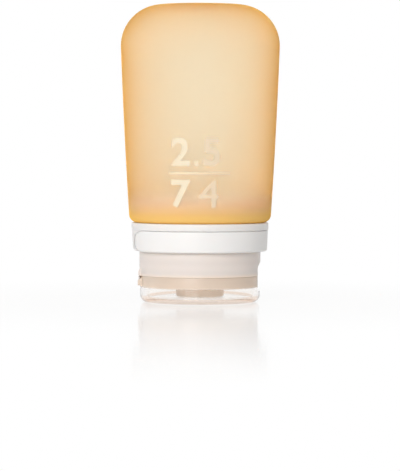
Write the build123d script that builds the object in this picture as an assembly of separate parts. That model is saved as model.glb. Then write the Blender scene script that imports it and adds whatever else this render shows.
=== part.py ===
from build123d import *
import os

# Travel squeeze bottle: a soft silicone tube that stands on its screw cap, with a flip lid and a drip valve.
# Origin at the middle of the lid's flat face, +Z up through the tube. The lid's hinge is on the -X side.
# All sizes are in millimetres.

# Clearances
seat_gap = 0.05                # between pieces that are pressed or clamped together
overrun = 2.0                  # how far a cutting shape passes a face
edge_search = 0.05             # how near an edge lies to the place where it is looked for

# Soft tube
total_height = 86.7            # lid face to the flat end of the tube
tube_radius = 23.2             # widest, below the rounded end
tube_taper = 2.45              # how much narrower the tube is above its rounded foot
tube_bow = 0.17                # how far the side bulges past a straight taper
tube_end_round = 12.0          # rounding of the flat closed end
tube_foot_round = 2.4          # rounding just above the collar
tube_wall = 2.0
tube_shoulder = 2.2            # thickness of the shoulder above the collar
tube_inner_round = 1.5         # rounding inside the shoulder
tube_neck_wall = 1.85
tube_bead_reach = 0.65         # how far the bead stands out under the collar lip
tube_bead_height = 1.7

# Collar, the outer ring that clamps the tube on the neck
collar_inset = 0.75            # upper rim inside the foot of the tube
collar_rim_step = 0.15         # from the rim in to the waist
collar_draft = 0.25            # how much the waist narrows to its lower corner
collar_wall = 1.6              # at the lower corner
collar_rim_height = 2.1
collar_lip_height = 1.3        # lip over the bead of the tube
collar_overlap = 2.95          # how far the collar hangs over the cap skirt
collar_corner = 1.5            # rounded lower corner
collar_edge = 0.35
snap_reach = 0.3               # small bead that holds the neck flange
snap_height = 0.6

# White band, open at the hinge side and set into the collar
band_thickness = 0.85
band_end_inset = 0.6           # both ends, inside the waist on the hinge side
band_end_round = 2.6
band_corner = 0.75
band_edge = 0.25
band_gap = 0.12                # seam round the band

# Cap with its closed end, spigot and nozzle
cap_seam = 7.75                # lower edge of the skirt, where the lid begins
cap_height = 10.05             # skirt, from the seam to its open end
cap_side_gap = 0.3             # between the skirt and the collar
cap_ledge = 1.65               # seat of the seal above the seam
cap_edge = 0.3
spigot_height = 3.55           # from the seam down to the closed end
spigot_gap = 0.4               # between the spigot and the lid
spigot_wall = 1.4
spigot_edge = 0.6
deck_thickness = 1.8
nozzle_gap = 0.35              # between the nozzle and the plate of the lid
nozzle_wall = 1.6
nozzle_lip = 0.9
nozzle_edge = 0.6
outlet_radius = 3.2

# Threaded neck, the rigid insert inside the mouth of the tube
neck_wall = 2.0
neck_flange_height = 1.3
neck_flange_gap = 1.1          # from the open end of the skirt to the flange
neck_edge = 0.4
thread_depth = 0.55            # plain land at the height of the thread crests
thread_lead_in = 1.1           # from the sealing end to the first thread
thread_end_gap = 0.6           # from the last thread to the open end of the skirt
thread_clearance = 0.1         # between the thread crests and the cap

# Thumb scoop, cut into the cap and the lid opposite the hinge
scoop_depth = 0.9
scoop_ledge = 3.3              # height of the lip that the thumb pushes
scoop_rise = 2.15              # flat part above the seam
scoop_run = 2.5                # curve from the flat part out to the full radius
scoop_width = 16.0

# Flip lid
lid_inset = 0.2                # lid inside the radius of the skirt
lid_wall = 1.5
lid_plate = 1.6
lid_corner = 2.0
lid_inner_round = 1.0
lid_edge = 0.2
lid_gap = 0.15                 # seam between the lid and the cap
plug_gap = 0.6                 # between the plug and the outlet
plug_height = 1.1
plug_round = 0.7

# Hinge
hinge_offset = 0.22            # hinge line outside the flat pad on the cap
hinge_width = 9.0
pad_depth = 0.15               # pad face inside the cap radius
pad_height = 2.2
strap_thickness = 0.34
strap_height = 1.7
lug_reach = 0.6                # lug on the lid beyond the lid radius
lug_drop = 0.25                # top of the lug below the rim of the lid
lug_slope = 0.9
lug_height = 1.5

# Seal and valve
seal_thickness = 0.95
seal_gap = 0.1                 # between the seal and its seat
seal_reach = 0.15              # seal outside the neck wall
seal_bore_gap = 0.1
valve_ledge = 2.2              # seat of the valve round the outlet
valve_flange = 0.8
valve_overlap = 0.3            # flange inside the edge of the outlet
valve_skin = 0.45
valve_rise = 0.7
valve_crown_share = 0.75       # height of the dome halfway out, of its rise
slit_length = 3.8
slit_width = 0.12
retainer_step = 0.8            # bore of the retainer outside the domed skin
retainer_chamfer = 0.4

# Radii, from the tube inwards
tube_foot_radius = tube_radius - tube_taper
collar_radius = tube_foot_radius - collar_inset
collar_waist_top = collar_radius - collar_rim_step
collar_waist = collar_waist_top - collar_draft
collar_bore = collar_waist - collar_wall
band_inner = collar_waist - band_thickness
bead_radius = collar_bore - seat_gap
tube_neck_radius = bead_radius - tube_bead_reach
tube_neck_bore = tube_neck_radius - tube_neck_wall
neck_radius = tube_neck_bore - seat_gap
neck_bore = neck_radius - neck_wall
thread_radius = neck_radius + thread_depth
cap_radius = collar_bore - cap_side_gap
cap_bore = thread_radius + thread_clearance
lid_radius = cap_radius - lid_inset
lid_bore = lid_radius - lid_wall
spigot_radius = lid_bore - spigot_gap
spigot_bore = spigot_radius - spigot_wall
valve_chamber = outlet_radius + valve_ledge
valve_opening = outlet_radius - valve_overlap
nozzle_radius = valve_chamber + nozzle_wall
retainer_bore = valve_opening + retainer_step
plug_radius = outlet_radius - plug_gap

# Heights, from the lid upwards
lid_top = cap_seam - lid_gap
nozzle_tip = lid_plate + nozzle_gap
valve_seat = nozzle_tip + nozzle_lip
deck_bottom = cap_seam - spigot_height
deck_top = deck_bottom + deck_thickness
seal_seat = cap_seam + cap_ledge
neck_bottom = seal_seat + seal_gap + seal_thickness + seat_gap
cap_top = cap_seam + cap_height
thread_bottom = neck_bottom + thread_lead_in
thread_top = cap_top - thread_end_gap
collar_bottom = cap_top - collar_overlap
flange_bottom = cap_top + neck_flange_gap
bead_bottom = flange_bottom + neck_flange_height
bead_top = bead_bottom + tube_bead_height
collar_top = bead_top + collar_lip_height
rim_bottom = collar_top - collar_rim_height
band_top = rim_bottom - band_gap
neck_top = collar_top + tube_shoulder

# Hinge line
pad_x = cap_radius - pad_depth
hinge_x = pad_x + hinge_offset
hinge_z = lid_top + lid_gap / 2


def revolved(*edges):
    """Turn a closed outline of (radius, height) edges into a solid of revolution about the Z axis."""
    face = make_face(Curve() + list(edges))
    return revolve(Plane.XZ * face, Axis.Z, 360)


def turned(points):
    """Turn a closed polygon of (radius, height) points into a solid of revolution."""
    return revolved(Polyline(*points, close=True))


def side_block(points, width):
    """Extrude an (x, z) polygon to both sides of the XZ plane."""
    face = make_face(Polyline(*points, close=True))
    return extrude(Plane.XZ * face, width / 2, both=True)


def rings(solid, radius, height):
    """The circular edges of a solid that have this radius at this height."""
    circles = solid.edges().filter_by(GeomType.CIRCLE)
    return [e for e in circles
            if abs(e.radius - radius) < edge_search and abs(e.center().Z - height) < edge_search]


def tube_outline(wall, foot_z, foot_round):
    """Edges of the tube's side, closed end and rounded foot, drawn a wall thickness inside the outer face."""
    end_z = total_height - wall
    side = tube_radius - wall
    end_round = tube_end_round - wall
    side_z = end_z - end_round
    foot_r = tube_foot_radius - wall
    taper_z = foot_z + foot_round
    middle = ((side + foot_r) / 2 + tube_bow, (side_z + taper_z) / 2)
    end = Line((0, end_z), (side - end_round, end_z))
    corner = CenterArc((side - end_round, side_z), end_round, 0, 90)
    taper = ThreePointArc((side, side_z), middle, (foot_r, taper_z))
    foot = CenterArc((foot_r - foot_round, taper_z), foot_round, 270, 90)
    below = Polyline((foot_r - foot_round, foot_z), (0, foot_z), (0, end_z))
    return [end, corner, taper, foot, below]


def make_squeeze_tube():
    """Soft tube: tapered side, rounded flat end, shoulder, neck and clamped bead, open at the mouth."""
    outside = revolved(*tube_outline(0, collar_top, tube_foot_round))
    inside = revolved(*tube_outline(tube_wall, neck_top, tube_inner_round))
    neck = turned([(0, bead_bottom), (bead_radius, bead_bottom), (bead_radius, bead_top),
                   (tube_neck_radius, bead_top), (tube_neck_radius, collar_top + seat_gap),
                   (0, collar_top + seat_gap)])
    mouth_height = neck_top - bead_bottom + 2 * overrun
    mouth = Pos(0, 0, bead_bottom - overrun + mouth_height / 2) * Cylinder(tube_neck_bore, mouth_height)
    return outside + neck - inside - mouth


def make_threaded_neck():
    """Rigid neck inside the tube's mouth, with the flange under the bead and a land for the thread."""
    body = turned([(neck_bore, neck_bottom), (neck_radius, neck_bottom), (neck_radius, thread_bottom),
                   (thread_radius, thread_bottom + thread_depth), (thread_radius, thread_top - thread_depth),
                   (neck_radius, thread_top), (neck_radius, flange_bottom),
                   (collar_bore - seat_gap, flange_bottom), (collar_bore - seat_gap, bead_bottom),
                   (neck_radius, bead_bottom), (neck_radius, neck_top), (neck_bore, neck_top)])
    ends = body.edges().group_by(Axis.Z)[-1] + body.edges().group_by(Axis.Z)[0]
    return chamfer(ends, neck_edge)


def band_side_view(grow):
    """Prism with the band's outline as seen from the side, larger by grow all round."""
    left = band_end_inset - collar_waist - grow
    right = collar_radius + overrun
    low = collar_bottom - grow
    high = band_top + grow
    prism = side_block([(left, low), (right, low), (right, high), (left, high)], 2 * right)
    ends = prism.edges().filter_by(Axis.Y).group_by(Axis.X)[0]
    return fillet(ends, band_end_round + grow)


def make_neck_collar():
    """Outer ring over the tube's bead, with its pocket for the band and the lip that holds the bead."""
    snap_top = flange_bottom - seat_gap - snap_reach
    snap_bottom = snap_top + snap_reach - snap_height
    lip_bore = tube_neck_radius + seat_gap
    lip_bottom = bead_top + seat_gap
    body = turned([(collar_bore, collar_bottom), (collar_waist, collar_bottom),
                   (collar_waist_top, rim_bottom), (collar_radius, rim_bottom),
                   (collar_radius, collar_top), (lip_bore, collar_top), (lip_bore, lip_bottom),
                   (collar_bore, lip_bottom), (collar_bore, snap_top + snap_reach),
                   (collar_bore - snap_reach, snap_top), (collar_bore - snap_reach, snap_bottom),
                   (collar_bore, snap_bottom - snap_reach)])
    body = fillet(rings(body, collar_waist, collar_bottom), collar_corner)
    body = fillet(rings(body, collar_radius, collar_top), collar_edge)
    pocket_height = band_top + band_gap - collar_bottom + overrun
    ring = Cylinder(collar_radius + overrun, pocket_height) - Cylinder(band_inner - seat_gap, pocket_height)
    ring = Pos(0, 0, band_top + band_gap - pocket_height / 2) * ring
    return body - (ring & band_side_view(band_gap))


def make_collar_band():
    """Open band with rounded ends, set flush into the collar."""
    ring = turned([(band_inner, collar_bottom), (collar_waist, collar_bottom),
                   (collar_waist_top, band_top), (band_inner, band_top)])
    ring = fillet(rings(ring, collar_waist, collar_bottom), band_corner)
    ring = fillet(rings(ring, collar_waist_top, band_top), band_edge)
    return ring & band_side_view(0)


def scoop():
    """Cutter for the thumb scoop: flat below, curving out to the full radius above, with a square ledge."""
    outside = cap_radius + overrun
    flat_x = cap_radius - scoop_depth
    straight_top = cap_seam + scoop_rise
    middle_z = straight_top + scoop_run / 2
    top = straight_top + scoop_run
    edges = [Line((outside, scoop_ledge), (flat_x, scoop_ledge)),
             Line((flat_x, scoop_ledge), (flat_x, straight_top)),
             Bezier((flat_x, straight_top), (flat_x, middle_z), (cap_radius, middle_z), (cap_radius, top)),
             Line((cap_radius, top), (outside, top)),
             Line((outside, top), (outside, scoop_ledge))]
    return extrude(Plane.XZ * make_face(Curve() + edges), scoop_width / 2, both=True)


def make_cap_base():
    """Screw cap: skirt, spigot inside the lid, closed end with its nozzle, and the hinge pad."""
    body = turned([(outlet_radius, nozzle_tip), (nozzle_radius, nozzle_tip), (nozzle_radius, deck_bottom),
                   (spigot_radius, deck_bottom), (spigot_radius, cap_seam), (cap_radius, cap_seam),
                   (cap_radius, cap_top), (cap_bore, cap_top), (cap_bore, seal_seat),
                   (spigot_bore, seal_seat), (spigot_bore, deck_top), (valve_chamber, deck_top),
                   (valve_chamber, valve_seat), (outlet_radius, valve_seat)])
    body = fillet(rings(body, cap_radius, cap_seam) + rings(body, cap_radius, cap_top), cap_edge)
    body = fillet(rings(body, spigot_radius, deck_bottom), spigot_edge)
    body = fillet(rings(body, nozzle_radius, nozzle_tip), nozzle_edge)
    pad_top = cap_seam + pad_height
    root_x = cap_bore + strap_thickness
    pad = side_block([(-pad_x, cap_seam), (-root_x, cap_seam), (-root_x, pad_top), (-pad_x, pad_top)],
                     hinge_width)
    outside = cap_radius + overrun
    below = cap_seam - seat_gap
    flat = side_block([(-pad_x, below), (-outside, below), (-outside, pad_top), (-pad_x, pad_top)],
                      hinge_width)
    return body + pad - flat - scoop()


def make_flip_lid():
    """Lid: flat plate, thin wall with a rounded corner, plug for the outlet, thumb lip and hinge lug."""
    plug_top = lid_plate + plug_height
    cup = turned([(0, 0), (lid_radius, 0), (lid_radius, lid_top), (lid_bore, lid_top), (lid_bore, lid_plate),
                  (plug_radius, lid_plate), (plug_radius, plug_top), (0, plug_top)])
    cup = fillet(rings(cup, lid_radius, 0), lid_corner)
    cup = fillet(rings(cup, lid_bore, lid_plate), lid_inner_round)
    cup = fillet(rings(cup, plug_radius, plug_top), plug_round)
    cup = fillet(rings(cup, lid_radius, lid_top), lid_edge)
    lug_x = lid_radius + lug_reach
    root_x = lid_bore + lid_wall / 2
    lug_top = lid_top - lug_drop
    lug_shoulder = lug_top - lug_slope
    lug_bottom = lug_shoulder - lug_height
    lug = side_block([(-root_x, lug_bottom), (-lug_x, lug_bottom), (-lug_x, lug_shoulder),
                      (-root_x, lug_top)], hinge_width)
    bore = Pos(0, 0, lug_top / 2) * Cylinder(lid_bore, lug_top)
    return cup + (lug - bore) - scoop()


def make_hinge_strap():
    """Thin strap on the cap's pad, with its rounded end on the hinge line."""
    half = strap_thickness / 2
    outer_x = hinge_x + half
    strap_top = hinge_z + strap_height
    sheet = side_block([(-pad_x, hinge_z), (-outer_x, hinge_z), (-outer_x, strap_top), (-pad_x, strap_top)],
                       hinge_width)
    bead = Pos(-hinge_x, 0, hinge_z) * Rot(90, 0, 0) * Cylinder(half, hinge_width)
    return sheet + bead


def make_cap_seal():
    """Flat ring between the end of the neck and the cap's ledge."""
    top = neck_bottom - seat_gap
    bottom = top - seal_thickness
    outer = neck_radius + seal_reach
    inner = spigot_bore - seal_bore_gap
    return turned([(inner, bottom), (outer, bottom), (outer, top), (inner, top)])


def make_drip_valve():
    """Soft valve: a clamped flange and a thin domed skin with a cross slit."""
    flange_r = valve_chamber - seat_gap
    high = valve_seat + valve_flange
    crown = high + valve_rise
    crown_side = high + valve_rise * valve_crown_share
    halfway = valve_opening / 2
    flange = Polyline((valve_opening, valve_seat), (flange_r, valve_seat), (flange_r, high),
                      (valve_opening, high))
    dome = ThreePointArc((valve_opening, high), (halfway, crown_side), (0, crown))
    axis = Line((0, crown), (0, crown - valve_skin))
    under = ThreePointArc((0, crown - valve_skin), (halfway, crown_side - valve_skin),
                          (valve_opening, valve_seat))
    body = revolved(flange, dome, axis, under)
    slit_height = valve_rise + valve_flange + overrun
    slit = Box(slit_length, slit_width, slit_height) + Box(slit_width, slit_length, slit_height)
    return body - Pos(0, 0, high) * slit


def make_valve_retainer():
    """Ring pressed into the cap from inside, which clamps the valve."""
    low = valve_seat + valve_flange
    outer = valve_chamber - seat_gap
    side_top = deck_top - retainer_chamfer
    return turned([(retainer_bore, low), (outer, low), (outer, side_top),
                   (outer - retainer_chamfer, deck_top), (retainer_bore + retainer_chamfer, deck_top),
                   (retainer_bore, side_top)])


def main():
    os.makedirs("parts", exist_ok=True)
    export_step(make_squeeze_tube(), "parts/squeeze_tube.step")
    export_step(make_threaded_neck(), "parts/threaded_neck.step")
    export_step(make_neck_collar(), "parts/neck_collar.step")
    export_step(make_collar_band(), "parts/collar_band.step")
    export_step(make_cap_base(), "parts/cap_base.step")
    export_step(make_flip_lid(), "parts/flip_lid.step")
    export_step(make_hinge_strap(), "parts/hinge_strap.step")
    export_step(make_cap_seal(), "parts/cap_seal.step")
    export_step(make_drip_valve(), "parts/drip_valve.step")
    export_step(make_valve_retainer(), "parts/valve_retainer.step")


main()
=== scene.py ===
import math

import bpy
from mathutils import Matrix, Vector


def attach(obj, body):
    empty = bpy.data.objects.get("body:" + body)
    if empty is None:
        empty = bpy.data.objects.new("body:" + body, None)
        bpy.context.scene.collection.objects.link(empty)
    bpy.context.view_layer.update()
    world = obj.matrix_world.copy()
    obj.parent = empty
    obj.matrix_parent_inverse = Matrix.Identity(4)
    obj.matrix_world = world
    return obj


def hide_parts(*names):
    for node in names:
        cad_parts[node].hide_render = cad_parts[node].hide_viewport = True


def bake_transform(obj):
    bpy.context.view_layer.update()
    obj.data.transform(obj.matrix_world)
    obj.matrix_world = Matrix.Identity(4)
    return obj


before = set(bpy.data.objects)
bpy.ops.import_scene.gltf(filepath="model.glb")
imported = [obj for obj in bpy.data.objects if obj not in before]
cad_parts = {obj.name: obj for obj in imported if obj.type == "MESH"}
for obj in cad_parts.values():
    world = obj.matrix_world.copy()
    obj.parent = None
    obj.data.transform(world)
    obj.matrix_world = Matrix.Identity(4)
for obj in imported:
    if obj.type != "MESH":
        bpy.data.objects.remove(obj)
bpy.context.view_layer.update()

# Travel squeeze bottle: a frosted silicone tube standing on its screw cap, with a flip lid and a drip valve.
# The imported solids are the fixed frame. Each has a piece here that stands for it, smooth and with its finish.
# Only the raised numbers and the screw thread are pieces without a solid.

bl_info = {
    "name": "Travel squeeze bottle",
    "version": (1, 0, 0),
    "blender": (4, 5, 0),
    "location": "3D View > Sidebar > Bottle",
    "description": "Models a soft travel bottle with its screw cap and flip lid round the packed solids",
    "category": "Add Mesh",
}

mm = 0.001                     # all outlines are written in millimetres
round_steps = 168              # sides of a round piece
small_round_steps = 96         # sides of the two small hidden ones
merge_distance = 0.000001

# Radii and heights in millimetres. They are those of the solids, apart from the few that say otherwise.
total_height = 86.7
tube_radius = 23.19            # 0.01 less than on the solid, to stay inside its box
tube_foot_radius = 20.75
tube_inner_round = 1.5         # rounding inside the shoulder
tube_bow = 0.17                # how far the side bulges past a straight line
tube_shoulder_top = 25.4
tube_mouth_radius = 15.45
tube_neck_radius = 17.3
bead_radius = 17.95
bead_bottom = 20.2
bead_top = 21.9
collar_top = 23.2
collar_bottom = 14.85
collar_radius = 20.0
collar_waist_top = 19.85
collar_waist = 19.6
collar_bore = 18.0
collar_corner = 1.5
collar_edge = 0.35
snap_reach = 0.3               # bead inside the collar, under the neck's flange
snap_height = 0.6
rim_bottom = 21.1
band_inner = 18.75
band_top = 20.98
band_corner = 0.75
band_edge = 0.25
band_end_x = 19.0
band_end_round = 2.6
band_gap = 0.08                # 0.04 less than on the solid, for a finer seam
cap_radius = 17.7
cap_bore = 16.05
cap_seam = 7.75
cap_top = 17.8
cap_edge = 0.3
seam_edge = 0.06               # where skirt and lid meet; finer than on the solids
seal_seat = 9.4
spigot_radius = 15.6
spigot_bore = 14.2
spigot_edge = 0.6
deck_bottom = 4.2
deck_top = 6.0
nozzle_radius = 7.0
nozzle_edge = 0.6
nozzle_root = 0.3              # fillet between nozzle and closed end, which is sharp on the solid
nozzle_tip = 1.4               # 0.55 lower than on the solid, as the photograph shows it
outlet_radius = 3.2
valve_seat = 2.85
valve_chamber = 5.4
valve_opening = 2.9
valve_flange = 0.8
valve_rise = 0.7
slit_length = 3.8
slit_width = 0.12
retainer_bore = 3.7
retainer_chamfer = 0.4
lid_radius = 17.5
lid_bore = 16.0
lid_corner = 2.0
lid_inner_round = 1.0
lid_top = 7.69                 # 0.09 higher than on the solid, for a finer seam
lid_plate = 1.2                # 0.4 thinner than on the solid, as the photograph shows it
plug_radius = 2.6
plug_top = 2.7
plug_round = 0.7
scoop_depth = 0.9
scoop_ledge = 3.3              # height of the lip that the thumb pushes
scoop_straight_top = 9.9
scoop_top = 12.4
scoop_width = 16.0
hinge_x = 17.77
hinge_z = 7.675
hinge_width = 9.0
strap_height = 1.7
lug_root = 16.75               # in the middle of the lid's wall
lug_reach = 0.6
lug_top = 7.35
lug_shoulder = 6.45
lug_bottom = 4.95
pad_x = 17.55
pad_height = 2.2
neck_bore = 13.4
neck_radius = 15.4
neck_bottom = 10.5
neck_edge = 0.4
flange_bottom = 18.9
thread_bottom = 11.6
thread_top = 17.2
thread_depth = 0.55
seal_inner = 14.1
seal_outer = 15.55
seal_bottom = 9.5
seal_top = 10.45
seat_gap = 0.05                # between pieces that rest on each other
overrun = 2.0                  # how far a cutter stands out past what it cuts

# Typical refractive indices, and how far red, green and blue light spread in milky plastic, as shares
silicone_index = 1.41
polypropylene_index = 1.49
plastic_spread = (1.0, 0.8, 0.65)

# Settings that several nodes share
smooth_ramp = {"interpolation_type": "SMOOTHSTEP"}
colour_mix = {"data_type": "RGBA"}
greater = {"operation": "MAXIMUM", "use_clamp": True}


def srgb(code):
    """A colour written as an sRGB hex number, as the linear RGBA that a shader takes."""
    parts = [(code >> shift & 255) / 255 for shift in (16, 8, 0)]
    return [p / 12.92 if p <= 0.04045 else ((p + 0.055) / 1.055) ** 2.4 for p in parts] + [1.0]


def colour_property(name, description, code):
    """A colour that the user can change, given as an sRGB hex number."""
    return bpy.props.FloatVectorProperty(name=name, description=description, subtype="COLOR", size=4,
                                         min=0, max=1, default=srgb(code))


def length_property(name, description, default):
    """A length that the user can change, in metres."""
    return bpy.props.FloatProperty(name=name, description=description, unit="LENGTH", default=default)


class BottleSizes(bpy.types.PropertyGroup):
    """Sizes of the dressed pieces that a user would change."""
    tube_wall: length_property("Tube wall", "Thickness of the soft wall", 0.002)
    tube_end_round: length_property("End rounding", "Rounding of the closed end", 0.012)
    tube_foot_round: length_property("Foot rounding", "Rounding above the collar", 0.0024)
    mark_relief: length_property("Mark relief", "How far the numbers stand out", 0.00025)
    thread_pitch: length_property("Thread pitch", "Lift of the cap in one turn", 0.003)
    film_thickness: length_property("Hinge film", "Thickness of the living hinge", 0.00034)
    camera_distance: length_property("Camera distance", "From the lens to the bottle's axis", 0.8)


class BottleColours(bpy.types.PropertyGroup):
    """Colours of the finishes."""
    silicone: colour_property("Silicone", "Surface of the frosted silicone", 0xFFFDF8)
    silicone_depth: colour_property("Silicone depth", "What the wall lets through", 0xF9EDCD)
    silicone_foot: colour_property("Silicone foot", "The thick turn at the shoulder", 0xFFCF7A)
    silicone_edge: colour_property("Silicone edge", "Velvet sheen of the rough surface", 0xFFC54A)
    # The numbers' two colours are a painted highlight, lighter towards the lamp on the left, and its painted
    # shade
    marks: colour_property("Marks", "Polished raised numbers", 0xFFF1D4)
    marks_painted_shade: colour_property("Faint marks", "The numbers away from the lamp", 0xFAE6C8)
    cap: colour_property("Cap", "Frosted polypropylene", 0xF8EDE6)
    # Painted light: the warm colour of the cap's closed end stands for the tube's amber light in the lid's
    # shade
    cap_painted_amber_light: colour_property("Cap inside", "The cap's closed end, inside the lid", 0xFFE9D6)
    collar: colour_property("Collar", "Frosted polypropylene of the collar", 0xFFFBF7)
    band: colour_property("Band", "Matt white band", 0xF7F5F3)
    lid: colour_property("Lid", "Clear polypropylene", 0xFFFEFC)
    # Painted light: the amber of the plate's rim and the warm tint of the milky wall stand for the tube's light
    lid_plate: colour_property("Lid plate", "The plate at the bottom, seen edge on", 0xF3D6BE)
    lid_wall: colour_property("Lid wall", "The milky upper part of the lid's wall", 0xFFEEDC)
    lid_depth: colour_property("Lid depth", "What the lid lets through", 0xF4EEED)
    neck: colour_property("Neck", "Natural polypropylene of the neck", 0xFBF5EE)
    seal: colour_property("Seal", "Soft sealing ring", 0xE9E4DE)
    valve: colour_property("Valve", "Clear silicone of the valve", 0xF4ECE4)
    floor: colour_property("Floor", "White acrylic sheet", 0xFFFFFF)


# Modelling


def clear_selection():
    """Leave edit mode and deselect everything."""
    if bpy.context.object and bpy.context.object.mode != "OBJECT":
        bpy.ops.object.mode_set(mode="OBJECT")
    bpy.ops.object.select_all(action="DESELECT")


def pick(piece):
    """Make one object the only selected and active one."""
    clear_selection()
    piece.select_set(True)
    bpy.context.view_layer.objects.active = piece


def arc(centre, radius, start, end, count):
    """Points of an arc of (radius, height), from one angle in degrees to another, in a count of steps."""
    turn = (end - start) / count
    angles = [math.radians(start + turn * i) for i in range(count + 1)]
    return [(centre[0] + radius * math.cos(a), centre[1] + radius * math.sin(a)) for a in angles]


def trace(name, outline, closed):
    """Trace (x, z) points in millimetres in the XZ plane, by extruding one corner from point to point."""
    clear_selection()
    bpy.ops.mesh.primitive_plane_add(size=mm, location=(0, 0, 0))
    piece = bpy.context.object
    piece.name = name
    piece.data.name = name
    bpy.ops.object.mode_set(mode="EDIT")
    bpy.ops.mesh.select_mode(type="VERT")
    bpy.ops.mesh.select_all(action="SELECT")
    bpy.ops.mesh.merge(type="CENTER")
    bpy.ops.transform.translate(value=(outline[0][0] * mm, 0, outline[0][1] * mm))
    points = outline + outline[:1] if closed else outline
    for (x0, z0), (x1, z1) in zip(points, points[1:]):
        bpy.ops.mesh.extrude_region_move(
            TRANSFORM_OT_translate={"value": ((x1 - x0) * mm, 0, (z1 - z0) * mm)})
    bpy.ops.mesh.select_all(action="SELECT")
    return piece


def close_up():
    """Merge what coincides, turn the faces outwards and leave edit mode."""
    bpy.ops.mesh.select_all(action="SELECT")
    bpy.ops.mesh.remove_doubles(threshold=merge_distance)
    bpy.ops.mesh.normals_make_consistent(inside=False)
    bpy.ops.object.mode_set(mode="OBJECT")


def turned(name, outline, closed=True, steps=round_steps):
    """A round piece, spun about the Z axis from its outline."""
    piece = trace(name, outline, closed)
    bpy.ops.mesh.spin(steps=steps, angle=2 * math.pi, center=(0, 0, 0), axis=(0, 0, 1))
    close_up()
    return piece


def slab(name, outline, width):
    """An (x, z) outline filled and extruded to both sides of the XZ plane."""
    piece = trace(name, outline, True)
    bpy.ops.mesh.remove_doubles(threshold=merge_distance)
    bpy.ops.mesh.edge_face_add()
    bpy.ops.transform.translate(value=(0, -width / 2 * mm, 0))
    bpy.ops.mesh.extrude_region_move(TRANSFORM_OT_translate={"value": (0, width * mm, 0)})
    close_up()
    return piece


def combine(piece, other, operation):
    """Cut, join or keep what two closed pieces share, with an applied Boolean."""
    pick(piece)
    step = piece.modifiers.new(operation.title(), "BOOLEAN")
    step.operation = operation
    step.solver = "EXACT"
    step.object = other
    bpy.ops.object.modifier_apply(modifier=step.name)
    bpy.data.objects.remove(other)


def soften(piece, width, segments, limit):
    """Round the edges that are sharper than the limit, in degrees, with an applied Bevel."""
    pick(piece)
    step = piece.modifiers.new("Soft edges", "BEVEL")
    step.width = width * mm
    step.segments = segments
    step.limit_method = "ANGLE"
    step.angle_limit = math.radians(limit)
    bpy.ops.object.modifier_apply(modifier=step.name)


def finish(piece, body, material, slot, *nodes):
    """Give a finished piece its shading and material, and its place in the frame."""
    smooth_limit = 32
    pick(piece)
    bpy.ops.object.shade_smooth_by_angle(angle=math.radians(smooth_limit))
    piece.data.materials.clear()
    piece.data.materials.append(material)
    if body:
        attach(piece, body)
    if nodes:
        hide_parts(*nodes)


# Materials


def add_node(tree, kind, settings=None, inputs=None):
    """Add a node, set its properties, and set or link its inputs."""
    made = tree.nodes.new(kind)
    for name, value in (settings or {}).items():
        setattr(made, name, value)
    for name, value in (inputs or {}).items():
        if isinstance(value, bpy.types.NodeSocket):
            tree.links.new(value, made.inputs[name])
        else:
            made.inputs[name].default_value = value
    return made


def new_material(name):
    """An empty node material with its output node."""
    found = bpy.data.materials.new(name)
    found.use_nodes = True
    found.node_tree.nodes.clear()
    output = add_node(found.node_tree, "ShaderNodeOutputMaterial")
    return found, found.node_tree, output


def moulded_plastic(name, colour, shade, grain_mm, relief, shader, roughness_range):
    """Moulded plastic: a fine grain from the mould varies roughness and relief, and clouds vary the tone.

    Real mould grain is under 0.1 mm wide. It is drawn several times as coarse, so that it shows at all. The
    relief is in millimetres, shade is the darkest tone's share of the colour, and shader holds the rest."""
    cloud_mm = 9
    material, tree, output = new_material(name)
    place = add_node(tree, "ShaderNodeTexCoord").outputs["Object"]
    grain = add_node(tree, "ShaderNodeTexNoise", None,
                     {"Vector": place, "Scale": 1 / (grain_mm * mm), "Detail": 3.0, "Roughness": 0.6})
    cloud = add_node(tree, "ShaderNodeTexNoise", None,
                     {"Vector": place, "Scale": 1 / (cloud_mm * mm), "Detail": 2.0, "Roughness": 0.5})
    darker = [c * shade for c in colour[:3]] + [1.0]
    tone = add_node(tree, "ShaderNodeMix", colour_mix,
                    {"Factor": cloud.outputs["Fac"], "A": darker, "B": list(colour)})
    rough = add_node(tree, "ShaderNodeMapRange", None,
                     {"Value": grain.outputs["Fac"], "To Min": roughness_range[0],
                      "To Max": roughness_range[1]})
    bump = add_node(tree, "ShaderNodeBump", None,
                    {"Height": grain.outputs["Fac"], "Distance": relief * mm, "Strength": 0.6})
    surface = add_node(tree, "ShaderNodeBsdfPrincipled", None,
                       {"Base Color": tone.outputs["Result"], "Roughness": rough.outputs["Result"],
                        "Normal": bump.outputs["Normal"], "Subsurface Radius": plastic_spread, **shader})
    tree.links.new(surface.outputs["BSDF"], output.inputs["Surface"])
    return material, tree, output


def ends_of(tree):
    """The shader of a moulded plastic, the place that it reads, that place's axes, and its base colour."""
    surface = next(n for n in tree.nodes if n.bl_idname == "ShaderNodeBsdfPrincipled")
    place = next(n for n in tree.nodes if n.bl_idname == "ShaderNodeTexCoord").outputs["Object"]
    axes = add_node(tree, "ShaderNodeSeparateXYZ", None, {"Vector": place}).outputs
    return surface, place, axes, surface.inputs["Base Color"].links[0].from_socket


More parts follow.
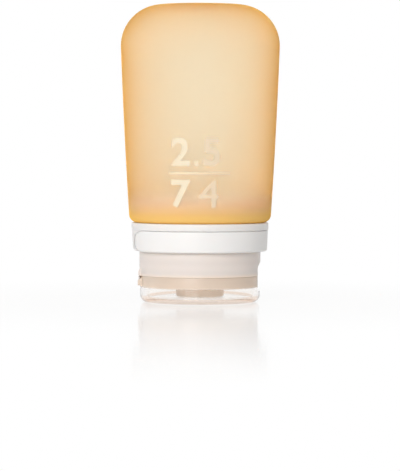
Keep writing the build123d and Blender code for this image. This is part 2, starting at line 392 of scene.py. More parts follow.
def silicone_material(colours):
    """Silicone rubber moulded in a blasted mould: rough inside and out, so it glows and hides what is behind.

    The tint sits in the wall, so it deepens where the wall is seen edge on. Where the wall turns in to the
    shoulder it is thickest and scatters most of its light: there it shows its full orange."""
    material, tree, output = moulded_plastic(
        "Silicone rubber, blasted mould", colours.silicone, 0.985, 0.45, 0.010,
        {"IOR": silicone_index, "Sheen Weight": 1.0, "Sheen Roughness": 0.45,
         "Sheen Tint": list(colours.silicone_edge)}, (0.86, 0.94))
    surface, _, axes, even = ends_of(tree)
    # Both ramps run down to the foot of the tube, just above the collar.
    foot = add_node(tree, "ShaderNodeMapRange", smooth_ramp,
                    {"Value": axes["Z"], "From Min": 32.8 * mm, "From Max": 24.5 * mm})
    tone = add_node(tree, "ShaderNodeMix", colour_mix,
                    {"Factor": foot.outputs["Result"], "A": even, "B": list(colours.silicone_foot)})
    clear = add_node(tree, "ShaderNodeMapRange", smooth_ramp,
                     {"Value": axes["Z"], "From Min": 33.5 * mm, "From Max": 23.5 * mm, "To Min": 1.0,
                      "To Max": 0.05})
    tree.links.new(tone.outputs["Result"], surface.inputs["Base Color"])
    tree.links.new(clear.outputs["Result"], surface.inputs["Transmission Weight"])
    depth = add_node(tree, "ShaderNodeVolumeAbsorption", None,
                     {"Color": list(colours.silicone_depth), "Density": 200.0})
    tree.links.new(depth.outputs["Volume"], output.inputs["Volume"])
    return material


def cap_material(colours):
    """Polypropylene moulded in a finely blasted mould: milky, and the thread inside it shows as faint bands.

    Under the seam it lies in the lid's shade and takes up the amber of the tube: there its colour is painted
    warmer, as painted amber light."""
    painted_amber_from = 9.0 * mm
    painted_amber_full = 7.3 * mm
    band_mm = 3                # one faint band for each turn of the thread
    wave_bands = 20 / (2 * math.pi)    # bands to the metre of the wave texture at scale 1
    material, tree, _ = moulded_plastic(
        "Polypropylene cap, fine matt mould", colours.cap, 0.985, 0.4, 0.008,
        {"IOR": polypropylene_index, "Subsurface Weight": 0.25, "Subsurface Scale": 0.0015}, (0.32, 0.42))
    surface, place, axes, even = ends_of(tree)
    bands = add_node(tree, "ShaderNodeTexWave", {"bands_direction": "Z", "wave_profile": "SIN"},
                     {"Vector": place, "Scale": 1 / wave_bands / (band_mm * mm), "Distortion": 0.6,
                      "Detail": 1.0, "Detail Scale": 0.4})
    faint = add_node(tree, "ShaderNodeMapRange", None,
                     {"Value": bands.outputs["Fac"], "To Min": 0.97, "To Max": 1.0})
    banded = add_node(tree, "ShaderNodeVectorMath", {"operation": "SCALE"},
                      {0: even, "Scale": faint.outputs["Result"]})
    # Painted amber light: below the seam the colour turns to the warm one
    warm = add_node(tree, "ShaderNodeMapRange", smooth_ramp,
                    {"Value": axes["Z"], "From Min": painted_amber_from, "From Max": painted_amber_full})
    tone = add_node(tree, "ShaderNodeMix", colour_mix,
                    {"Factor": warm.outputs["Result"], "A": banded.outputs["Vector"],
                     "B": list(colours.cap_painted_amber_light)})
    tree.links.new(tone.outputs["Result"], surface.inputs["Base Color"])
    clear = add_node(tree, "ShaderNodeMapRange", smooth_ramp,
                     {"Value": axes["Z"], "From Min": painted_amber_from, "From Max": painted_amber_full, "To Min": 0.12,
                      "To Max": 0.0})
    tree.links.new(clear.outputs["Result"], surface.inputs["Transmission Weight"])
    return material


def lid_material(colours):
    """Clarified polypropylene from a polished mould: nearly clear, with a faint warm tint along its edges.

    The rim of the plate at the bottom is painted amber: painted light standing for the tube's light, which the
    wall pipes down to it.
    The upper part of the wall comes from a blasted part of the mould: milky, so the spigot hardly shows, and
    its warm tint is painted amber light."""
    blasted_roughness = 0.25
    material, tree, output = moulded_plastic(
        "Polypropylene lid, clarified, polished mould", colours.lid, 0.995, 1.5, 0.0002,
        {"IOR": polypropylene_index, "Transmission Weight": 1.0}, (0.02, 0.05))
    surface, place, axes, even = ends_of(tree)
    # The painted amber rim of the plate is low and near the wall.
    # The milky part, with its painted warm tint, begins level with the cap's closed end.
    low = add_node(tree, "ShaderNodeMapRange", smooth_ramp,
                   {"Value": axes["Z"], "From Min": 1.5 * mm, "From Max": 0.9 * mm})
    flat = add_node(tree, "ShaderNodeVectorMath", {"operation": "MULTIPLY"}, {0: place, 1: (1, 1, 0)})
    reach = add_node(tree, "ShaderNodeVectorMath", {"operation": "LENGTH"}, {0: flat.outputs["Vector"]})
    outer = add_node(tree, "ShaderNodeMapRange", smooth_ramp,
                     {"Value": reach.outputs["Value"], "From Min": 14.5 * mm, "From Max": 16.0 * mm})
    rim = add_node(tree, "ShaderNodeMath", {"operation": "MULTIPLY"},
                   {0: low.outputs["Result"], 1: outer.outputs["Result"]})
    # Painted amber light on the rim of the plate
    tone = add_node(tree, "ShaderNodeMix", colour_mix,
                    {"Factor": rim.outputs["Value"], "A": even, "B": list(colours.lid_plate)})
    upper = add_node(tree, "ShaderNodeMapRange", smooth_ramp,
                     {"Value": axes["Z"], "From Min": deck_bottom * mm, "From Max": 4.6 * mm})
    # The milky upper wall: real frosting, with a warm tint that is painted amber light
    milky = add_node(tree, "ShaderNodeMix", colour_mix,
                     {"Factor": upper.outputs["Result"], "A": tone.outputs["Result"],
                      "B": list(colours.lid_wall)})
    tree.links.new(milky.outputs["Result"], surface.inputs["Base Color"])
    clear = add_node(tree, "ShaderNodeMapRange", None,
                     {"Value": upper.outputs["Result"], "To Min": 1.0, "To Max": 0.4})
    tree.links.new(clear.outputs["Result"], surface.inputs["Transmission Weight"])
    polish = surface.inputs["Roughness"].links[0].from_socket
    rough = add_node(tree, "ShaderNodeMath", {"operation": "MULTIPLY_ADD"},
                     {0: upper.outputs["Result"], 1: blasted_roughness, 2: polish})
    tree.links.new(rough.outputs["Value"], surface.inputs["Roughness"])
    depth = add_node(tree, "ShaderNodeVolumeAbsorption", None,
                     {"Color": list(colours.lid_depth), "Density": 100.0})
    tree.links.new(depth.outputs["Volume"], output.inputs["Volume"])
    return material


# Pieces


def bowed_radius(top_radius, low_radius, share):
    """Radius on the tube's side, a share of the way down its taper, which bulges past a straight line."""
    return top_radius + (low_radius - top_radius) * share + tube_bow * 4 * share * (1 - share)


def tube_outline(wall, end_round, foot_round, foot_z):
    """Side and closed end of the tube, from the middle of the end down to its foot."""
    steps = 14
    end_z = total_height - wall
    side = tube_radius - wall
    foot_r = tube_foot_radius - wall
    round_r = end_round - wall
    side_z = end_z - round_r
    taper_z = foot_z + foot_round
    flat = [(0, end_z), ((side - round_r) / 2, end_z)]
    corner = arc((side - round_r, side_z), round_r, 90, 0, 16)
    taper = [(bowed_radius(side, foot_r, i / steps), side_z + (taper_z - side_z) * i / steps)
             for i in range(1, steps)]
    foot = arc((foot_r - foot_round, taper_z), foot_round, 0, -90, 8)
    return flat + corner + taper + foot


class BOTTLE_OT_tube(bpy.types.Operator):
    """Model the soft tube with its wall, shoulder, neck and bead"""
    bl_idname = "bottle.add_tube"
    bl_label = "Soft tube"

    def execute(self, context):
        sizes = context.scene.bottle_sizes
        colours = context.scene.bottle_colours
        wall = sizes.tube_wall / mm
        end_round = sizes.tube_end_round / mm
        outside = tube_outline(0, end_round, sizes.tube_foot_round / mm, collar_top)
        inside = tube_outline(wall, end_round, tube_inner_round, tube_shoulder_top)
        neck = [(tube_neck_radius, collar_top), (tube_neck_radius, bead_top), (bead_radius, bead_top),
                (bead_radius, bead_bottom), (tube_mouth_radius, bead_bottom),
                (tube_mouth_radius, tube_shoulder_top)]
        tube = turned("silicone_tube", outside + neck + inside[::-1], closed=False)
        finish(tube, "bottle", silicone_material(colours), "amber_silicone", "squeeze_tube")
        return {"FINISHED"}


def tube_radius_at(z, sizes):
    """Outer radius of the tube's side at a height, for what lies on it."""
    top = total_height - sizes.tube_end_round / mm
    foot = collar_top + sizes.tube_foot_round / mm
    return bowed_radius(tube_radius, tube_foot_radius, (top - z) / (top - foot))


class BOTTLE_OT_marks(bpy.types.Operator):
    """Model the raised capacity numbers on the front of the tube"""
    bl_idname = "bottle.add_marks"
    bl_label = "Capacity marks"

    # What stands where, in millimetres: figure, left, right, low, high
    places = (("2", -8.3, -2.85, 39.9, 47.9), (".", -1.75, -0.35, 39.9, 41.3), ("5", 0.7, 5.8, 39.9, 47.9),
              ("7", -8.4, -2.6, 28.05, 35.95), ("4", -0.4, 5.4, 28.05, 35.95))
    rule_half = 9.0
    rule_low = 37.55
    rule_high = 38.05
    slice_width = 0.5          # the flat figures are cut into slices, so that they can follow the round tube
    stand_off = 0.01           # between the figures' backs and the tube, so that no faces coincide
    boldness = 0.022           # how far the letters' outline moves out, at text size 1

    def figure(self, text, left, right, low, high):
        """One flat figure, stretched to its place."""
        clear_selection()
        bpy.ops.object.text_add(location=(0, 0, 0))
        piece = bpy.context.object
        piece.data.body = text
        # The moulded figures are bold, but a bolder 4 would close its opening.
        piece.data.offset = 0 if text == "4" else self.boldness
        bpy.ops.object.convert(target="MESH")
        piece = bpy.context.object
        xs = [v.co.x for v in piece.data.vertices]
        ys = [v.co.y for v in piece.data.vertices]
        for v in piece.data.vertices:
            x = left + (right - left) * (v.co.x - min(xs)) / (max(xs) - min(xs))
            z = low + (high - low) * (v.co.y - min(ys)) / (max(ys) - min(ys))
            v.co = (x * mm, 0, z * mm)
        return piece

    def execute(self, context):
        sizes = context.scene.bottle_sizes
        colours = context.scene.bottle_colours
        parts = [self.figure(*place) for place in self.places]
        rule = trace("rule", [(-self.rule_half, self.rule_low), (self.rule_half, self.rule_low),
                              (self.rule_half, self.rule_high), (-self.rule_half, self.rule_high)], True)
        bpy.ops.mesh.remove_doubles(threshold=merge_distance)
        bpy.ops.mesh.edge_face_add()
        bpy.ops.object.mode_set(mode="OBJECT")
        clear_selection()
        for part in parts + [rule]:
            part.select_set(True)
        bpy.context.view_layer.objects.active = rule
        bpy.ops.object.join()
        marks = bpy.context.object
        marks.name = "capacity_marks"
        bpy.ops.object.mode_set(mode="EDIT")
        bpy.ops.mesh.select_all(action="SELECT")
        bpy.ops.mesh.remove_doubles(threshold=merge_distance)
        slices = round(self.rule_half / self.slice_width)
        for i in range(-slices, slices + 1):
            bpy.ops.mesh.select_all(action="SELECT")
            bpy.ops.mesh.bisect(plane_co=(i * self.slice_width * mm, 0, 0), plane_no=(1, 0, 0))
        bpy.ops.mesh.select_all(action="SELECT")
        bpy.ops.mesh.extrude_region_move(TRANSFORM_OT_translate={"value": (0, -sizes.mark_relief, 0)})
        close_up()
        # Wrap the flat figures round the tube.
        for v in marks.data.vertices:
            base = (tube_radius_at(v.co.z / mm, sizes) + self.stand_off) * mm
            reach = base - v.co.y
            angle = v.co.x / base
            v.co = (reach * math.sin(angle), -reach * math.cos(angle), v.co.z)
        # The figures come from polished places in the mould, so they catch the lamp. Their colour carries a
        # painted
        # highlight: light on the left, fading to a painted shade on the right, where they nearly drown in the
        # tube's glow.
        material, tree, _ = moulded_plastic(
            "Silicone rubber, polished figures", colours.marks, 0.99, 0.6, 0.004,
            {"IOR": silicone_index, "Transmission Weight": 0.12}, (0.25, 0.33))
        surface, _, axes, even = ends_of(tree)
        # Painted highlight: from left to right the colour fades to the painted shade
        painted_highlight_fade = add_node(tree, "ShaderNodeMapRange", smooth_ramp,
                        {"Value": axes["X"], "From Min": -2.8 * mm, "From Max": 1.0 * mm})
        tone = add_node(tree, "ShaderNodeMix", colour_mix,
                        {"Factor": painted_highlight_fade.outputs["Result"], "A": even, "B": list(colours.marks_painted_shade)})
        tree.links.new(tone.outputs["Result"], surface.inputs["Base Color"])
        finish(marks, "bottle", material, "amber_silicone")
        return {"FINISHED"}


class BOTTLE_OT_neck(bpy.types.Operator):
    """Model the milky neck insert and its screw thread"""
    bl_idname = "bottle.add_neck"
    bl_label = "Threaded neck"

    def execute(self, context):
        sizes = context.scene.bottle_sizes
        colours = context.scene.bottle_colours
        flange_radius = collar_bore - seat_gap
        body = [(neck_bore, neck_bottom + neck_edge), (neck_bore + neck_edge, neck_bottom),
                (neck_radius - neck_edge, neck_bottom), (neck_radius, neck_bottom + neck_edge),
                (neck_radius, flange_bottom), (flange_radius, flange_bottom),
                (flange_radius, bead_bottom), (neck_radius, bead_bottom),
                (neck_radius, tube_shoulder_top - neck_edge), (neck_radius - neck_edge, tube_shoulder_top),
                (neck_bore + neck_edge, tube_shoulder_top), (neck_bore, tube_shoulder_top - neck_edge)]
        neck = turned("threaded_neck_insert", body)
        # Uncoloured polypropylene is milky even from a polished mould: glossy, and hardly see-through.
        natural = moulded_plastic(
            "Polypropylene, natural, polished mould", colours.neck, 0.98, 1.2, 0.002,
            {"IOR": polypropylene_index, "Transmission Weight": 0.12}, (0.12, 0.2))[0]
        finish(neck, "bottle", natural, "clear_neck_plastic", "threaded_neck")

        tooth_root = neck_radius - 0.02        # sunk into the neck, so that no gap shows
        tooth_crest = neck_radius + thread_depth
        tooth_flank = 0.4
        tooth_height = 1.25
        spare_turns = 0.45                     # leaves room for the tooth's own height
        pitch = sizes.thread_pitch / mm
        turns = (thread_top - thread_bottom) / pitch - spare_turns
        tooth = [(tooth_root, thread_bottom), (tooth_crest, thread_bottom + tooth_flank),
                 (tooth_crest, thread_bottom + tooth_height - tooth_flank),
                 (tooth_root, thread_bottom + tooth_height)]
        thread = trace("neck_thread", tooth, True)
        bpy.ops.mesh.remove_doubles(threshold=merge_distance)
        bpy.ops.object.mode_set(mode="OBJECT")
        step = thread.modifiers.new("Thread", "SCREW")
        step.angle = 2 * math.pi * turns
        step.screw_offset = pitch * mm * turns
        step.steps = round_steps * 2
        step.render_steps = round_steps * 2
        step.use_merge_vertices = False
        pick(thread)
        bpy.ops.object.modifier_apply(modifier=step.name)
        bpy.ops.object.mode_set(mode="EDIT")
        bpy.ops.mesh.select_all(action="SELECT")
        bpy.ops.mesh.fill_holes(sides=8)
        close_up()
        finish(thread, "bottle", natural, "clear_neck_plastic")
        return {"FINISHED"}


def band_view(name, grow):
    """Block with the band's outline from the side, rounded at its two ends, larger by grow all round."""
    left = -band_end_x - grow
    right = collar_radius + overrun
    low = collar_bottom - grow
    high = band_top + grow
    corner = band_end_round + grow
    outline = [(right, low)] + arc((left + corner, low + corner), corner, 270, 180, 12)
    outline += arc((left + corner, high - corner), corner, 180, 90, 12) + [(right, high)]
    return slab(name, outline, 2 * right)


class BOTTLE_OT_collar(bpy.types.Operator):
    """Model the collar and the open white band in its pocket"""
    bl_idname = "bottle.add_collar"
    bl_label = "Collar and band"

    def execute(self, context):
        colours = context.scene.bottle_colours
        # The waist leans outwards as it rises, so the arcs of its corners end a little further out.
        collar_lean = 0.05
        band_lean = 0.03
        rim_fillet = 0.05
        rim_edge = 0.15
        lip_bore = tube_neck_radius + seat_gap
        lip_bottom = bead_top + seat_gap
        snap_high = flange_bottom - seat_gap
        outline = [(collar_bore, collar_bottom)]
        outline += arc((collar_waist + collar_lean - collar_corner, collar_bottom + collar_corner),
                       collar_corner, 270, 360, 10)
        outline += [(collar_waist_top, rim_bottom - rim_fillet), (collar_waist_top + rim_fillet, rim_bottom)]
        outline += arc((collar_radius - rim_edge, rim_bottom + rim_edge), rim_edge, 270, 360, 4)
        outline += arc((collar_radius - collar_edge, collar_top - collar_edge), collar_edge, 0, 90, 6)
        outline += [(lip_bore, collar_top), (lip_bore, lip_bottom), (collar_bore, lip_bottom),
                    (collar_bore, snap_high), (collar_bore - snap_reach, snap_high - snap_reach),
                    (collar_bore - snap_reach, snap_high - snap_height),
                    (collar_bore, snap_high - snap_height - snap_reach)]
        collar = turned("clamp_collar", outline)
        pocket_inner = band_inner - seat_gap
        pocket_outer = collar_radius + overrun
        pocket_low = 10.0          # anywhere under the collar
        pocket_high = band_top + band_gap
        pocket = turned("pocket", [(pocket_inner, pocket_low), (pocket_outer, pocket_low),
                                   (pocket_outer, pocket_high), (pocket_inner, pocket_high)])
        combine(pocket, band_view("pocket_view", band_gap), "INTERSECT")
        combine(collar, pocket, "DIFFERENCE")
        # The matt mould scatters the light and the wall is thick, so the collar is milky and nearly white.
        material = moulded_plastic(
            "Polypropylene collar, fine matt mould", colours.collar, 0.97, 0.4, 0.008,
            {"IOR": polypropylene_index, "Transmission Weight": 0.08, "Subsurface Weight": 0.25,
             "Subsurface Scale": 0.0015}, (0.34, 0.44))[0]
        finish(collar, "bottle", material, "frosted_collar_plastic", "neck_collar")

        outline = [(band_inner, collar_bottom)]
        outline += arc((collar_waist + band_lean - band_corner, collar_bottom + band_corner),
                       band_corner, 270, 360, 8)
        outline += arc((collar_waist_top - band_edge, band_top - band_edge), band_edge, 0, 90, 5)
        outline += [(band_inner, band_top)]
        band = turned("white_band", outline)
        combine(band, band_view("band_view", 0), "INTERSECT")
        soften(band, width=0.18, segments=3, limit=50)
        # Filled white, so no light passes and the band stands out, solid and smoother, from the milky collar.
        material = moulded_plastic(
            "Polypropylene band, white, satin mould", colours.band, 0.985, 0.35, 0.006,
            {"IOR": polypropylene_index, "Subsurface Weight": 0.15, "Subsurface Scale": 0.0008},
            (0.36, 0.44))[0]
        finish(band, "bottle", material, "white_band_plastic", "collar_band")
        return {"FINISHED"}


def scoop_block(name):
    """Block for the thumb scoop: flat below, curving out along a Bezier curve to the full radius above."""
    steps = 12
    flat_x = cap_radius - scoop_depth
    outside = cap_radius + overrun
    middle = (scoop_straight_top + scoop_top) / 2
    curve = []
    for i in range(steps + 1):
        s = i / steps
        a, b, c, d = (1 - s) ** 3, 3 * s * (1 - s) ** 2, 3 * s * s * (1 - s), s ** 3
        curve.append((flat_x * (a + b) + cap_radius * (c + d),
                      scoop_straight_top * a + middle * (b + c) + scoop_top * d))
    outline = [(outside, scoop_ledge), (flat_x, scoop_ledge)] + curve + [(outside, scoop_top)]
    return slab(name, outline, scoop_width)


def box_block(name, left, right, low, high, width):
    """A plain block for a Boolean step, given by its sides in x and z and its width in y."""
    return slab(name, [(left, low), (right, low), (right, high), (left, high)], width)


class BOTTLE_OT_cap(bpy.types.Operator):
    """Model the screw cap with its skirt, spigot, closed end and nozzle"""
    bl_idname = "bottle.add_cap"
    bl_label = "Screw cap"

    def execute(self, context):
        colours = context.scene.bottle_colours
        outline = [(outlet_radius, nozzle_tip)]
        outline += arc((nozzle_radius - nozzle_edge, nozzle_tip + nozzle_edge), nozzle_edge, 270, 360, 5)
        outline += arc((nozzle_radius + nozzle_root, deck_bottom - nozzle_root), nozzle_root, 180, 90, 4)
        outline += arc((spigot_radius - spigot_edge, deck_bottom + spigot_edge), spigot_edge, 270, 360, 5)
        outline += [(spigot_radius, cap_seam)]
        outline += arc((cap_radius - seam_edge, cap_seam + seam_edge), seam_edge, 270, 360, 4)
        outline += arc((cap_radius - cap_edge, cap_top - cap_edge), cap_edge, 0, 90, 5)
        outline += [(cap_bore, cap_top), (cap_bore, seal_seat), (spigot_bore, seal_seat),
                    (spigot_bore, deck_top), (valve_chamber, deck_top), (valve_chamber, valve_seat),
                    (outlet_radius, valve_seat)]
        cap = turned("screw_cap", outline)
        pad_root = cap_bore + 0.3      # inside the skirt's wall
        pad_top = cap_seam + pad_height
        combine(cap, box_block("pad", -pad_x, -pad_root, cap_seam, pad_top, hinge_width), "UNION")
        combine(cap, box_block("flat", -cap_radius - overrun, -pad_x, cap_seam - seat_gap, pad_top,
                               hinge_width), "DIFFERENCE")
        combine(cap, scoop_block("cap_scoop"), "DIFFERENCE")
        finish(cap, "cap", cap_material(colours), "frosted_cap_plastic", "cap_base")
        return {"FINISHED"}


class BOTTLE_OT_hinge(bpy.types.Operator):
    """Model the living hinge, a thin film that bends between cap and lid"""
    bl_idname = "bottle.add_hinge"
    bl_label = "Living hinge"

    def execute(self, context):
        colours = context.scene.bottle_colours
        half = context.scene.bottle_sizes.film_thickness / mm / 2
        thin = half * 0.6          # at the fold the film is thinner
        taper = 0.5                # from the hinge line to the full thickness, on the outside
        inner_taper = 0.45         # and on the inside
        bend = 0.4                 # how far from the hinge line the rows of faces reach
        rows = 4                   # rows of faces on each side of the hinge line, where the film would bend
        end_slope = 0.3            # of the upper end, towards the skirt
        foot_outer = 7.1           # height of the lower end, on the outside and on the inside
        foot_inner = 7.0
        foot_x = pad_x - 0.04      # just clear of the lid's wall
        inner = pad_x + 0.01       # just clear of the cap's pad
        outer = hinge_x + half
        strap_top = hinge_z + strap_height
        outline = [(-inner, strap_top), (-outer, strap_top - end_slope), (-outer, hinge_z + taper),
                   (-hinge_x - thin, hinge_z), (-outer, hinge_z - taper), (-outer, foot_outer),
                   (-foot_x, foot_inner), (-inner, hinge_z - inner_taper),
                   (-hinge_x + thin, hinge_z), (-inner, hinge_z + inner_taper)]
        film = slab("living_hinge", outline, hinge_width - 0.2)
        bpy.ops.object.mode_set(mode="EDIT")
        for i in range(-rows, rows + 1):
            bpy.ops.mesh.select_all(action="SELECT")
            bpy.ops.mesh.bisect(plane_co=(0, 0, (hinge_z + bend * i / rows) * mm), plane_no=(0, 0, 1))
        close_up()
        # Polypropylene turns milky where it is bent, and so thin a film lets some light through.
        material = moulded_plastic(
            "Polypropylene film, whitened at the fold", colours.cap, 0.97, 0.4, 0.004,
            {"IOR": polypropylene_index, "Transmission Weight": 0.2}, (0.35, 0.45))[0]
        finish(film, None, material, "frosted_cap_plastic", "hinge_strap")
        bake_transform(film)
        return {"FINISHED"}


class BOTTLE_OT_seal_and_valve(bpy.types.Operator):
    """Model the sealing ring, the slit valve and its retaining ring"""
    bl_idname = "bottle.add_seal_and_valve"
    bl_label = "Seal and valve"

    def execute(self, context):
        colours = context.scene.bottle_colours
        edge = 0.25                # rounding all round the ring's section
        ring = arc((seal_outer - edge, seal_bottom + edge), edge, 270, 360, 4)
        ring += arc((seal_outer - edge, seal_top - edge), edge, 0, 90, 4)
        ring += arc((seal_inner + edge, seal_top - edge), edge, 90, 180, 4)
        ring += arc((seal_inner + edge, seal_bottom + edge), edge, 180, 270, 4)
        seal = turned("sealing_ring", ring)
        # Milky and softly shining: the mould of such a ring is plain steel, neither polished nor blasted.
        rubber = moulded_plastic(
            "Silicone rubber, moulded ring", colours.seal, 0.97, 0.5, 0.006,
            {"IOR": silicone_index, "Transmission Weight": 0.1}, (0.45, 0.55))[0]
        finish(seal, "seal", rubber, "seal_rubber", "cap_seal")

        flange_r = valve_chamber - seat_gap
        flange_edge = 0.15
        top = valve_seat + valve_flange
        under_radius = valve_opening - 0.25
        under_rise = 1.05
        slit_low, slit_high = 2, 6     # well past both sides of the dome
        quarter = [math.radians(a) for a in range(0, 91, 10)]
        dome = [(valve_opening * math.cos(a), top + valve_rise * math.sin(a)) for a in quarter]
        under = [(under_radius * math.cos(a), valve_seat + under_rise * math.sin(a)) for a in quarter[::-1]]
        outline = dome + under + [(valve_opening, valve_seat), (flange_r - flange_edge, valve_seat),
                                  (flange_r, valve_seat + flange_edge), (flange_r, top - flange_edge),
                                  (flange_r - flange_edge, top)]
        valve = turned("slit_valve", outline[::-1], steps=small_round_steps)
        for name, long, wide in (("slit_along", slit_length, slit_width),
                                 ("slit_across", slit_width, slit_length)):
            combine(valve, box_block(name, -long / 2, long / 2, slit_low, slit_high, wide), "DIFFERENCE")
        # The skin is so thin that it looks clear, with a soft shine.
        clear = moulded_plastic(
            "Silicone rubber, clear slit valve", colours.valve, 0.98, 0.5, 0.004,
            {"IOR": silicone_index, "Transmission Weight": 0.45}, (0.3, 0.4))[0]
        finish(valve, "cap", clear, "valve_silicone", "drip_valve")

        side_top = deck_top - retainer_chamfer
        outline = [(retainer_bore, top), (flange_r, top), (flange_r, side_top),
                   (flange_r - retainer_chamfer, deck_top), (retainer_bore + retainer_chamfer, deck_top),
                   (retainer_bore, side_top)]
        retainer = turned("valve_retaining_ring", outline, steps=small_round_steps)
        finish(retainer, "cap", bpy.data.materials["Polypropylene, natural, polished mould"],
               "clear_neck_plastic", "valve_retainer")
        return {"FINISHED"}


class BOTTLE_OT_lid(bpy.types.Operator):
    """Model the clear flip lid with its plug, thumb lip and hinge lug"""
    bl_idname = "bottle.add_lid"
    bl_label = "Flip lid"

    def execute(self, context):
        colours = context.scene.bottle_colours
        halfway = 8                # divides the wide flat faces of the plate
        outline = [(0, 0), (halfway, 0)]
        outline += arc((lid_radius - lid_corner, lid_corner), lid_corner, 270, 360, 12)
        outline += arc((lid_radius - seam_edge, lid_top - seam_edge), seam_edge, 0, 90, 4)
        outline += [(lid_bore, lid_top)]
        outline += arc((lid_bore - lid_inner_round, lid_plate + lid_inner_round), lid_inner_round, 0, -90, 8)
        outline += [(halfway, lid_plate), (plug_radius, lid_plate)]
        outline += arc((plug_radius - plug_round, plug_top - plug_round), plug_round, 0, 90, 6)
        outline += [(0, plug_top)]
        lid = turned("flip_lid_clear", outline, closed=False)
        lug_x = lid_radius + lug_reach
        lug = slab("lug", [(-lug_root, lug_bottom), (-lug_x, lug_bottom), (-lug_x, lug_shoulder),
                           (-lug_root, lug_top)], hinge_width)
        combine(lid, lug, "UNION")
        combine(lid, scoop_block("lid_scoop"), "DIFFERENCE")
        finish(lid, "lid", lid_material(colours), "clear_lid_plastic", "flip_lid")
        return {"FINISHED"}


# Stage


def area_light(name, place, target, size, power):
    """A soft rectangular lamp aimed at a point, with its place and size in metres and its power in watts."""
    data = bpy.data.lights.new(name, "AREA")
    data.shape = "RECTANGLE"
    data.size, data.size_y = size
    data.energy = power
    lamp = bpy.data.objects.new(name, data)
    bpy.context.collection.objects.link(lamp)
    aim = Vector(target) - Vector(place)
    lamp.location = place
    lamp.rotation_euler = aim.to_track_quat("-Z", "Y").to_euler()


def seen_share(tree):
    """Socket that is 1 where the eye sees a surface itself, in a mirror or through glass, and 0 elsewhere."""
    path = add_node(tree, "ShaderNodeLightPath")
    seen = add_node(tree, "ShaderNodeMath", greater,
                    {0: path.outputs["Is Camera Ray"], 1: path.outputs["Is Transmission Ray"]})
    seen = add_node(tree, "ShaderNodeMath", greater,
                    {0: seen.outputs[0], 1: path.outputs["Is Glossy Ray"]})
    return seen.outputs[0]


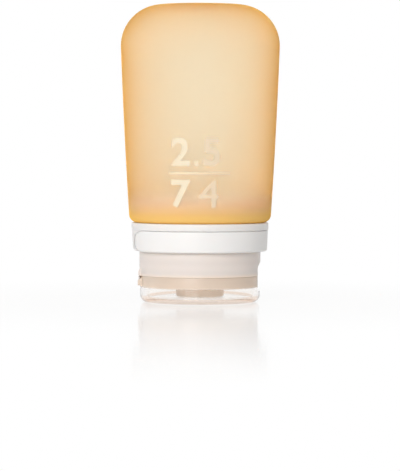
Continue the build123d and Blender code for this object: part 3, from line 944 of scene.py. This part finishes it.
class BOTTLE_OT_stage(bpy.types.Operator):
    """Make the white floor, the soft studio light and the camera"""
    bl_idname = "bottle.add_stage"
    bl_label = "Stage"

    # Camera: its height and the height of what it looks at, in metres, and the photograph's long side and
    # focal length, in pixels, at the distance that the focal length was measured for
    camera_height = 0.0475
    aim_height = 0.01935
    frame_pixels = 471
    focal_pixels = 2736.5
    measured_distance = 0.8
    sensor = 36.0
    lean = 0.0017              # the bottle leans by a tenth of a degree in the picture, so the camera rolls

    def add_floor(self, colours):
        """White glossy sheet: it shows a short reflection and a soft shadow, and fades to pure white."""
        clear_selection()
        bpy.ops.mesh.primitive_plane_add(size=6.0, location=(0, 0, 0))
        floor = bpy.context.object
        floor.name = "floor"
        material, tree, output = new_material("Acrylic sheet, white, glossy")
        place = add_node(tree, "ShaderNodeTexCoord").outputs["Object"]
        reach = add_node(tree, "ShaderNodeVectorMath", {"operation": "LENGTH"}, {0: place}).outputs["Value"]
        sheet = add_node(tree, "ShaderNodeBsdfDiffuse", None, {"Color": list(colours.floor)})
        glow = add_node(tree, "ShaderNodeEmission", None, {"Color": list(colours.floor), "Strength": 1.0})
        gloss = add_node(tree, "ShaderNodeBsdfGlossy", None, {"Color": list(colours.floor), "Roughness": 0.1})
        white = add_node(tree, "ShaderNodeMapRange", smooth_ramp,
                         {"Value": reach, "From Min": 0.03, "From Max": 0.15, "To Min": 0.9, "To Max": 1.0})
        share = add_node(tree, "ShaderNodeMath", {"operation": "MULTIPLY"},
                         {0: seen_share(tree), 1: white.outputs["Result"]})
        plain = add_node(tree, "ShaderNodeMixShader", None,
                         {0: share.outputs[0], 1: sheet.outputs[0], 2: glow.outputs[0]})
        polish = add_node(tree, "ShaderNodeMapRange", smooth_ramp,
                          {"Value": reach, "From Min": 0.11, "From Max": 0.28, "To Min": 0.38, "To Max": 0.0})
        both = add_node(tree, "ShaderNodeMixShader", None,
                        {0: polish.outputs["Result"], 1: plain.outputs[0], 2: gloss.outputs[0]})
        tree.links.new(both.outputs[0], output.inputs["Surface"])
        floor.data.materials.append(material)

    def add_world(self, scene, colours):
        """White surroundings that light the object less than they show."""
        world = bpy.data.worlds.new("White cove")
        world.use_nodes = True
        scene.world = world
        tree = world.node_tree
        tree.nodes.clear()
        strength = add_node(tree, "ShaderNodeMapRange", None,
                            {"Value": seen_share(tree), "To Min": 0.4, "To Max": 1.0})
        sky = add_node(tree, "ShaderNodeBackground", None,
                       {"Color": list(colours.floor), "Strength": strength.outputs["Result"]})
        add_node(tree, "ShaderNodeOutputWorld", None, {"Surface": sky.outputs[0]})

    def add_camera(self, scene, distance):
        """Camera at the photograph's viewing angle, whose frame's long side takes the sensor's width."""
        data = bpy.data.cameras.new("camera")
        camera = bpy.data.objects.new("camera", data)
        bpy.context.collection.objects.link(camera)
        camera.location = (0.0, -distance, self.camera_height)
        aim = Vector((0, 0, self.aim_height)) - camera.location
        camera.rotation_euler = aim.to_track_quat("-Z", "Y").to_euler()
        camera.rotation_euler.rotate_axis("Z", self.lean)
        data.sensor_width = self.sensor
        data.lens = self.sensor * self.focal_pixels / self.frame_pixels * distance / self.measured_distance
        data.clip_start = 0.01
        data.clip_end = 20
        scene.camera = camera

    def execute(self, context):
        colours = context.scene.bottle_colours
        middle = (0, 0, 0.04)      # of the bottle, where both lamps aim
        self.add_floor(colours)
        self.add_world(context.scene, colours)
        # A large soft lamp in front, a little to the left and above, and a weak one that lifts the left edge
        area_light("key", (-0.34, -1.03, 0.42), middle, (0.55, 0.56), 6.3)
        area_light("left_edge", (-0.9, 0.15, 0.3), middle, (0.3, 0.6), 0.5)
        self.add_camera(context.scene, context.scene.bottle_sizes.camera_distance)
        context.scene.view_settings.view_transform = "Standard"
        return {"FINISHED"}


class BOTTLE_PT_panel(bpy.types.Panel):
    """Lists the pieces, sizes and colours of the bottle"""
    bl_idname = "BOTTLE_PT_panel"
    bl_label = "Travel squeeze bottle"
    bl_space_type = "VIEW_3D"
    bl_region_type = "UI"
    bl_category = "Bottle"

    def draw(self, context):
        column = self.layout.column(align=True)
        for maker in makers:
            column.operator(maker.bl_idname)
        for group in (context.scene.bottle_sizes, context.scene.bottle_colours):
            box = self.layout.box()
            for name in group.__annotations__:
                box.prop(group, name)


makers = (BOTTLE_OT_stage, BOTTLE_OT_tube, BOTTLE_OT_marks, BOTTLE_OT_neck, BOTTLE_OT_collar, BOTTLE_OT_cap,
          BOTTLE_OT_hinge, BOTTLE_OT_seal_and_valve, BOTTLE_OT_lid)
classes = (BottleSizes, BottleColours) + makers + (BOTTLE_PT_panel,)


def register():
    for each in classes:
        bpy.utils.register_class(each)
    bpy.types.Scene.bottle_sizes = bpy.props.PointerProperty(type=BottleSizes)
    bpy.types.Scene.bottle_colours = bpy.props.PointerProperty(type=BottleColours)


def unregister():
    del bpy.types.Scene.bottle_colours
    del bpy.types.Scene.bottle_sizes
    for each in reversed(classes):
        bpy.utils.unregister_class(each)


def main():
    """Make the stage and all the pieces."""
    register()
    bpy.ops.bottle.add_stage()
    bpy.ops.bottle.add_tube()
    bpy.ops.bottle.add_marks()
    bpy.ops.bottle.add_neck()
    bpy.ops.bottle.add_collar()
    bpy.ops.bottle.add_cap()
    bpy.ops.bottle.add_hinge()
    bpy.ops.bottle.add_seal_and_valve()
    bpy.ops.bottle.add_lid()


if __name__ == "__main__":
    main()
